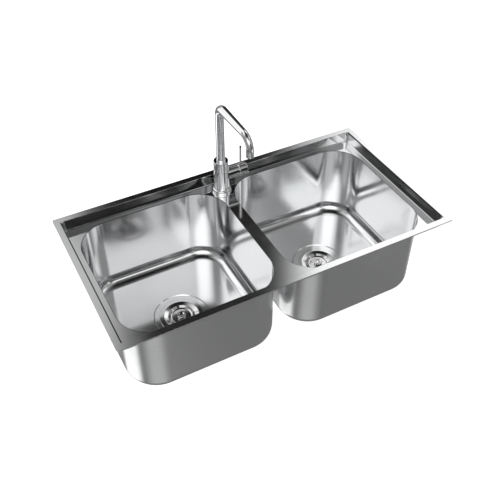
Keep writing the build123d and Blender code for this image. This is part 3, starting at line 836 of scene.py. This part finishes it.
@dataclass
class Bowl:
    """One drawn bowl, polished inside and satin outside."""

    side: Side
    width: float = 0.370
    length: float = 0.374
    corner: float = 0.080
    bend: float = 0.029
    sheet: float = 0.001
    seat_radius: float = 0.069
    seat_slope: float = 0.002
    seat_depth: float = 0.002
    hole_radius: float = 0.045
    bend_steps: int = 18

    def __post_init__(self) -> None:
        """Takes the bowl's place from its solid."""
        low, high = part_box(f"{self.side.value}_bowl")
        self.centre = ((low.x + high.x) / 2, (low.y + high.y) / 2)
        self.top = high.z
        self.floor = low.z + self.seat_depth + self.sheet

    def _wall(self, piece: Piece, grow: float) -> list[Loop]:
        """Loops of one face of the sheet, from the rim to the drain hole.

        Args:
            piece: The mesh being built.
            grow: Distance outside the inner face.

        Returns:
            The loops, all of one count.
        """
        loops = [piece.loop(self._plan(grow), self.top)]
        bend = self.bend + grow
        level = self.floor - grow + bend
        for i in range(self.bend_steps + 1):
            turn = math.radians(90 * i / self.bend_steps)
            inset = bend * (1 - math.cos(turn))
            loops.append(piece.loop(self._plan(grow - inset), level - bend * math.sin(turn)))
        seat = ((self.seat_radius, 0.0), (self.seat_radius - self.seat_slope, self.seat_depth),
                (self.hole_radius, self.seat_depth))
        for radius, drop in seat:
            spread = grow if radius > self.hole_radius else 0.0
            loops.append(piece.loop(self._ring(radius + spread), self.floor - grow - drop))
        return loops

    def _plan(self, grow: float) -> list[Flat]:
        """Plan of the wall, grown outwards."""
        width, length = self.width + 2 * grow, self.length + 2 * grow
        return rounded_loop(width, length, self.corner + grow, self.centre)

    def _ring(self, radius: float) -> list[Flat]:
        """Circle with a point for each point of the plan, at the same bearing.

        Args:
            radius: Radius of the circle.

        Returns:
            The points in the plan's order.
        """
        cx, cy = self.centre
        bearings = [math.atan2(y - cy, x - cx) for x, y in self._plan(0.0)]
        return [(cx + radius * math.cos(a), cy + radius * math.sin(a)) for a in bearings]

    def build(self) -> Placed:
        """Builds and dresses the bowl in place of its solid.

        Returns:
            The bowl.
        """
        node = f"{self.side.value}_bowl"
        piece = Piece(f"{node}_skin")
        inside = self._wall(piece, 0.0)
        outside = self._wall(piece, self.sheet)
        piece.skin(inside, 0)
        piece.skin(outside[::-1], 1)
        piece.bridge(inside[-1], outside[-1], 0)
        piece.bridge(outside[0], inside[0], 1)
        made = piece.build([INSIDE_STEEL.material(), OUTSIDE_STEEL.material()])
        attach(made, "sink")
        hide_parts(node)
        return made


@dataclass(frozen=True)
class Dressing:
    """A finish and the solids that wear it."""

    finish: Finish
    nodes: tuple[str, ...]

    def apply(self) -> None:
        """Puts the finish on each solid."""
        material = self.finish.material()
        for name in self.nodes:
            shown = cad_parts[name]
            shown.data.materials.clear()
            shown.data.materials.append(material)
            LOG.info("%s wears %s", name, self.finish.name)


@dataclass
class Waste:
    """One basket waste under a bowl."""

    side: Side
    flange_radius: float = 0.057
    flange: float = 0.005
    inside_radius: float = 0.0445
    wall: float = 0.003
    inside_depth: float = 0.0385
    tail_radius: float = 0.0239
    tail_bore: float = 0.0205
    tail: float = 0.032
    tail_pitch: float = 0.00231
    tail_cut: float = 0.00148
    hub_radius: float = 0.008
    hub_bore: float = 0.0033
    hub_top: float = 0.0298
    hub: float = 0.0128
    insert_bore: float = 0.00505
    insert: float = 0.008
    arm_width: float = 0.0032
    arm_height: float = 0.0064
    arms: int = 3
    edge: float = 0.0006
    segments: int = 72
    hub_segments: int = 36

    def build(self) -> Placed:
        """Builds the moulded body with its threaded tail in place of its solid.

        Returns:
            The body.
        """
        node = f"{self.side.value}_waste_body"
        low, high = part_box(node)
        axis = ((low.x + high.x) / 2, (low.y + high.y) / 2)
        piece = Piece(f"{self.side.value}_waste_moulding")
        self._shell(piece, axis, high.z, low.z)
        self._spider(piece, axis, high.z)
        made = piece.build([WASTE_PLASTIC.material()])
        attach(made, "sink")
        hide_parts(node)
        return made

    def _shell(self, piece: Piece, axis: Flat, top: float, foot: float) -> None:
        """Adds the flange, the cup and the threaded tail.

        Args:
            piece: The mesh being built.
            axis: Place of the axis in plan.
            top: Height of the flange's upper face.
            foot: Height of the tail's lower end.
        """
        under, knee, neck = top - self.flange, top - self.inside_depth, foot + self.tail
        outside, e = self.inside_radius + self.wall, self.edge
        profile = [
            (self.inside_radius, top), (self.flange_radius - e, top),
            (self.flange_radius, top - e), (self.flange_radius, under + e),
            (self.flange_radius - e, under), (outside + 2 * e, under),
            (outside, under - 2 * e), (outside, knee),
            (self.tail_radius, neck), (self.tail_radius, foot + e),
            (self.tail_radius - e, foot), (self.tail_bore + e, foot),
            (self.tail_bore, foot + e), (self.tail_bore, neck + e),
            (self.inside_radius, knee + e)]
        thread = Thread(self.tail_radius, self.tail_cut, self.tail_pitch, foot + 2 * e,
                        neck - self.tail_pitch)
        piece.turned(profile, axis, self.segments, thread)

    def _spider(self, piece: Piece, axis: Flat, top: float) -> None:
        """Adds the hub and the arms that carry it.

        Args:
            piece: The mesh being built.
            axis: Place of the axis in plan.
            top: Height of the flange's upper face.
        """
        hub_top = top - self.hub_top
        hub_low = hub_top - self.hub
        step = hub_low + self.insert
        profile = [
            (self.hub_bore, hub_top), (self.hub_radius, hub_top), (self.hub_radius, hub_low),
            (self.insert_bore, hub_low), (self.insert_bore, step), (self.hub_bore, step)]
        piece.turned(profile, axis, self.hub_segments)
        middle, half = (hub_top + hub_low) / 2, self.arm_height / 2
        for i in range(self.arms):
            piece.block((self.hub_radius - self.edge, -self.arm_width / 2, middle - half),
                        (self.inside_radius + self.edge, self.arm_width / 2, middle + half),
                        2 * math.pi * i / self.arms, axis)

    def dress(self) -> None:
        """Puts the finishes on the waste's solids."""
        for finish, nodes in (
                (WASTE_STEEL, ("waste_dish", "basket", "basket_knob")),
                (PLAIN_STEEL, ("clamp_screw", "basket_stem")),
                (VALVE_BRASS, ("hub_insert",)),
                (SEAL_RUBBER, ("dish_gasket", "body_gasket", "basket_seal"))):
            Dressing(finish, tuple(f"{self.side.value}_{name}" for name in nodes)).apply()


@dataclass(frozen=True)
class Tap:
    """The mixer tap with its valve and fixings."""

    stud_pitch: float = 0.00125
    stud_cut: float = 0.00068
    stud_edge: float = 0.0005
    stud_plain: float = 0.012
    stud_segments: int = 28

    chrome: tuple[str, ...] = (
        "base_ring", "tap_body", "spout_tube", "spout_ring_nut", "aerator_housing", "dome_cover",
        "handle_cap")
    lever: tuple[str, ...] = ("lever_rod",)
    steel: tuple[str, ...] = (
        "horseshoe_plate", "mounting_nut", "grub_screw", "pivot_pin", "stem")
    brass: tuple[str, ...] = ("cartridge_nut", "spout_sleeve")
    rubber: tuple[str, ...] = (
        "base_gasket", "deck_gasket", "sleeve_seals", "aerator_washer", "port_gasket")
    plastic: tuple[str, ...] = (
        "glide_ring", "swivel_washer", "cartridge_base", "cartridge_housing", "turret",
        "disc_carrier", "aerator_insert")
    ceramic: tuple[str, ...] = ("fixed_disc", "moving_disc")

    def stud(self) -> Placed:
        """Builds the threaded stud in place of its solid.

        Returns:
            The stud.
        """
        low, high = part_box("mounting_stud")
        axis = ((low.x + high.x) / 2, (low.y + high.y) / 2)
        crest, e = (high.x - low.x) / 2, self.stud_edge
        profile = [(crest - e, high.z), (crest, high.z - e), (crest, low.z + e), (crest - e, low.z)]
        thread = Thread(crest, self.stud_cut, self.stud_pitch, low.z + 2 * e,
                        high.z - self.stud_plain)
        piece = Piece("stud_thread")
        piece.turned(profile, axis, self.stud_segments, thread, hollow=False)
        made = piece.build([PLAIN_STEEL.material()])
        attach(made, "sink")
        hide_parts("mounting_stud")
        return made

    def dress(self) -> None:
        """Puts the finishes on the tap's solids."""
        for finish, nodes in (
                (TAP_CHROME, self.chrome), (LEVER_CHROME, self.lever), (PLAIN_STEEL, self.steel),
                (VALVE_BRASS, self.brass), (SEAL_RUBBER, self.rubber),
                (VALVE_PLASTIC, self.plastic), (DISC_CERAMIC, self.ceramic)):
            Dressing(finish, nodes).apply()


# Studio


@dataclass(frozen=True)
class SoftPanel:
    """A soft light panel: bearing from the back, height and half sizes, all in degrees."""

    bearing: float
    height: float
    half_width: float
    half_height: float
    level: float
    edge: float

    def axes(self) -> tuple[Vector, Vector, Vector]:
        """Lays out the panel's own directions.

        Returns:
            Directions to the panel, to its right and to its top.
        """
        a, e = math.radians(self.bearing), math.radians(self.height)
        facing = Vector((math.sin(a) * math.cos(e), math.cos(a) * math.cos(e), math.sin(e)))
        right = Vector((math.cos(a), -math.sin(a), 0.0))
        return facing, right, right.cross(facing)

    def place(self, sketch: NodeSketch, direction: Socket, level: float) -> Socket:
        """Places the panel in the surroundings.

        Args:
            sketch: The sketch of the surroundings.
            direction: Direction looked in.
            level: Value on the panel.

        Returns:
            The panel's value, zero outside it.
        """
        facing, right, up = self.axes()
        return sketch.group(
            EFFECTS.panel, Direction=direction, Facing=facing, Right=right, Up=up,
            Half_Width=math.tan(math.radians(self.half_width)),
            Half_Height=math.tan(math.radians(self.half_height)), Soft_Edge=self.edge, Level=level)


@dataclass(frozen=True)
class SoftBox:
    """A soft light box in the room, aimed at a point and as bright as its radiance."""

    name: str
    place: Point
    aim: Point
    size: Flat
    radiance: float

    def build(self) -> Placed:
        """Makes the light and links it to the scene.

        Returns:
            The light.
        """
        lamp = bpy.data.lights.new(self.name, "AREA")
        lamp.shape = "RECTANGLE"
        lamp.size, lamp.size_y = self.size
        lamp.energy = self.radiance * math.pi * self.size[0] * self.size[1]
        made = bpy.data.objects.new(self.name, lamp)
        bpy.context.scene.collection.objects.link(made)
        away = Vector(self.aim) - Vector(self.place)
        turn = away.to_track_quat("-Z", "Y").to_matrix().to_4x4()
        made.matrix_world = Matrix.Translation(self.place) @ turn
        made.visible_camera = False
        made.visible_glossy = False
        return made


@dataclass(frozen=True)
class Studio:
    """Pale floor, soft surroundings and the camera."""

    panels: tuple[SoftPanel, ...] = (
        SoftPanel(-149.0, 40.0, 25.5, 20.0, 1.65, 0.34),
        SoftPanel(-34.0, 48.0, 29.5, 16.5, 1.35, 0.36),
        SoftPanel(-36.0, 5.5, 11.5, 31.5, 1.1, 0.08),
        SoftPanel(49.0, 42.0, 12.0, 12.5, 1.3, 0.1),
        SoftPanel(174.0, 36.0, 17.0, 17.0, 1.03, 0.06),
        SoftPanel(105.0, 44.0, 10.0, 9.0, 1.4, 0.24),
        SoftPanel(143.5, 25.0, 4.5, 4.0, 1.7, 0.03),
        SoftPanel(-46.0, 26.0, 22.0, 15.0, 0.52, 0.25),
        SoftPanel(-66.0, -54.0, 20.0, 7.0, 1.6, 0.06),
        SoftPanel(-155.0, -53.0, 22.0, 20.0, 0.58, 0.3),
        SoftPanel(168.0, -52.0, 6.0, 12.0, 0.37, 0.12),
        SoftPanel(140.0, -22.0, 12.0, 9.0, 1.5, 0.09),
        SoftPanel(64.0, -35.0, 19.0, 6.0, 1.4, 0.19),
        SoftPanel(-19.5, -64.0, 17.0, 4.5, 1.1, 0.05),
        SoftPanel(-66.0, -33.0, 19.0, 10.0, 1.5, 0.05),
    )
    flags: tuple[SoftPanel, ...] = (
        SoftPanel(23.5, 50.0, 7.0, 25.0, 0.02, 0.04),
        SoftPanel(20.5, 37.5, 7.8, 3.4, 0.01, 0.025),
        SoftPanel(163.0, 8.5, 13.5, 27.0, 0.02, 0.05),
        SoftPanel(-48.0, 31.5, 6.5, 6.5, 0.05, 0.05),
        SoftPanel(46.0, 6.0, 9.0, 18.0, 0.03, 0.05),
        SoftPanel(34.0, 66.0, 11.0, 10.0, 0.02, 0.05),
        SoftPanel(34.0, 21.0, 9.0, 9.0, 0.02, 0.04),
        SoftPanel(-114.0, -33.0, 20.0, 9.0, 0.1, 0.06),
        SoftPanel(166.0, -32.0, 14.0, 9.0, 0.1, 0.06),
        SoftPanel(171.0, 55.0, 6.5, 5.2, 0.02, 0.02),
    )
    boxes: tuple[SoftBox, ...] = (
        SoftBox("overhead_box", (0.0, 0.0, 2.4), (0.0, 0.0, 0.0), (2.4, 2.4), 0.6),
    )
    ceiling: float = 0.01
    ceiling_edge: Flat = (0.8, 0.985)
    upper: float = 0.34
    lower: float = 0.21
    horizon: Flat = (-0.12, 0.05)
    floor_height: float = -0.345
    floor_size: float = 40.0
    paper_tint: Colour = (0.9, 0.9, 0.9)
    paper_roughness: float = 0.9
    paper_gloss: float = 0.1
    paper_glow: float = 0.8
    lens: float = 49.69
    sensor: float = 36.0
    clip: Flat = (0.01, 200.0)
    eye: Point = (-0.58934, -1.07765, 1.07483)
    heading: float = 0.494758
    dip: float = 0.760893
    roll: float = 0.00603

    def build(self) -> None:
        """Sets up floor, light and camera."""
        self._surroundings()
        for box in self.boxes:
            LOG.info("lit by %s", box.build().name)
        self._floor()
        self._camera()
        view = bpy.context.scene.view_settings
        view.view_transform = "Standard"
        view.look = "None"

    def _surroundings(self) -> None:
        """World of soft panels between dark walls, white where the camera looks past the floor."""
        world = bpy.data.worlds.new("studio")
        bpy.context.scene.world = world
        world.use_nodes = True
        sketch = NodeSketch(world.node_tree)
        put = sketch.node("ShaderNodeOutputWorld")
        direction = sketch.node("ShaderNodeTexCoord").outputs["Generated"]
        height = sketch.apart(direction)[2]
        wall = sketch.smooth(height, *self.horizon, self.lower, self.upper)
        above = sketch.smooth(height, *self.ceiling_edge, 0.0, self.upper - self.ceiling)
        light = sketch.math("SUBTRACT", wall, above)
        for panel in self.panels:
            light = sketch.math("MAXIMUM", light, panel.place(sketch, direction, panel.level))
        for flag in self.flags:
            shade = flag.place(sketch, direction, 1.0)
            taken = sketch.math("MULTIPLY", shade, sketch.math("SUBTRACT", light, flag.level))
            light = sketch.math("SUBTRACT", light, taken)
        seen = sketch.node("ShaderNodeLightPath").outputs["Is Camera Ray"]
        sky = sketch.fill(
            sketch.node("ShaderNodeBackground"), Color=(1, 1, 1, 1),
            Strength=sketch.math("MAXIMUM", light, seen))
        sketch.link(sky.outputs[0], put.inputs[0])

    def _floor(self) -> None:
        """Pale floor, seen from above only."""
        half = self.floor_size / 2
        mesh = bpy.data.meshes.new("studio_floor")
        corners = [(-half, -half), (half, -half), (half, half), (-half, half)]
        mesh.from_pydata([(x, y, self.floor_height) for x, y in corners], [], [(0, 1, 2, 3)])
        floor = bpy.data.objects.new("studio_floor", mesh)
        bpy.context.scene.collection.objects.link(floor)
        mesh.materials.append(self._paper())
        floor.visible_glossy = False
        floor.visible_diffuse = False
        floor.visible_shadow = False

    def _paper(self) -> Material:
        """Pale paper that shows from above and is clear from below.

        Returns:
            The material.
        """
        paper = bpy.data.materials.new("floor_paper")
        paper.use_nodes = True
        sketch = NodeSketch(paper.node_tree)
        put = sketch.node("ShaderNodeOutputMaterial")
        shader = sketch.fill(
            sketch.node("ShaderNodeBsdfPrincipled"), Base_Color=(*self.paper_tint, 1),
            Roughness=self.paper_roughness, Specular_IOR_Level=self.paper_gloss,
            Emission_Color=(1, 1, 1, 1), Emission_Strength=self.paper_glow)
        clear = sketch.node("ShaderNodeBsdfTransparent")
        mix = sketch.node("ShaderNodeMixShader")
        sketch.link(sketch.node("ShaderNodeNewGeometry").outputs["Backfacing"], mix.inputs[0])
        sketch.link(shader.outputs[0], mix.inputs[1])
        sketch.link(clear.outputs[0], mix.inputs[2])
        sketch.link(mix.outputs[0], put.inputs[0])
        return paper

    def _camera(self) -> None:
        """Camera at the place from which the sink is looked at."""
        ahead = Vector((math.sin(self.heading), math.cos(self.heading), 0))
        right = Vector((math.cos(self.heading), -math.sin(self.heading), 0))
        up = Vector((0, 0, 1))
        forward = ahead * math.cos(self.dip) - up * math.sin(self.dip)
        top = ahead * math.sin(self.dip) + up * math.cos(self.dip)
        across = right * math.cos(self.roll) + top * math.sin(self.roll)
        rise = top * math.cos(self.roll) - right * math.sin(self.roll)
        lens = bpy.data.cameras.new("camera")
        lens.lens = self.lens
        lens.sensor_width = self.sensor
        lens.clip_start, lens.clip_end = self.clip
        camera = bpy.data.objects.new("camera", lens)
        bpy.context.scene.collection.objects.link(camera)
        turn = Matrix((across, rise, -forward)).transposed().to_4x4()
        camera.matrix_world = Matrix.Translation(self.eye) @ turn
        bpy.context.scene.camera = camera


def main() -> None:
    """Builds the pieces in order and reports each one."""
    logging.basicConfig(level=logging.INFO, format="%(name)s: %(message)s")
    Dressing(DECK_STEEL, ("deck_panel",)).apply()
    Dressing(SEAL_RUBBER, ("rim_seal",)).apply()
    for side in Side:
        LOG.info("built %s", Bowl(side).build().name)
        waste = Waste(side)
        LOG.info("built %s", waste.build().name)
        waste.dress()
    tap = Tap()
    LOG.info("built %s", tap.stud().name)
    tap.dress()
    Studio().build()


if __name__ == "__main__":
    main()
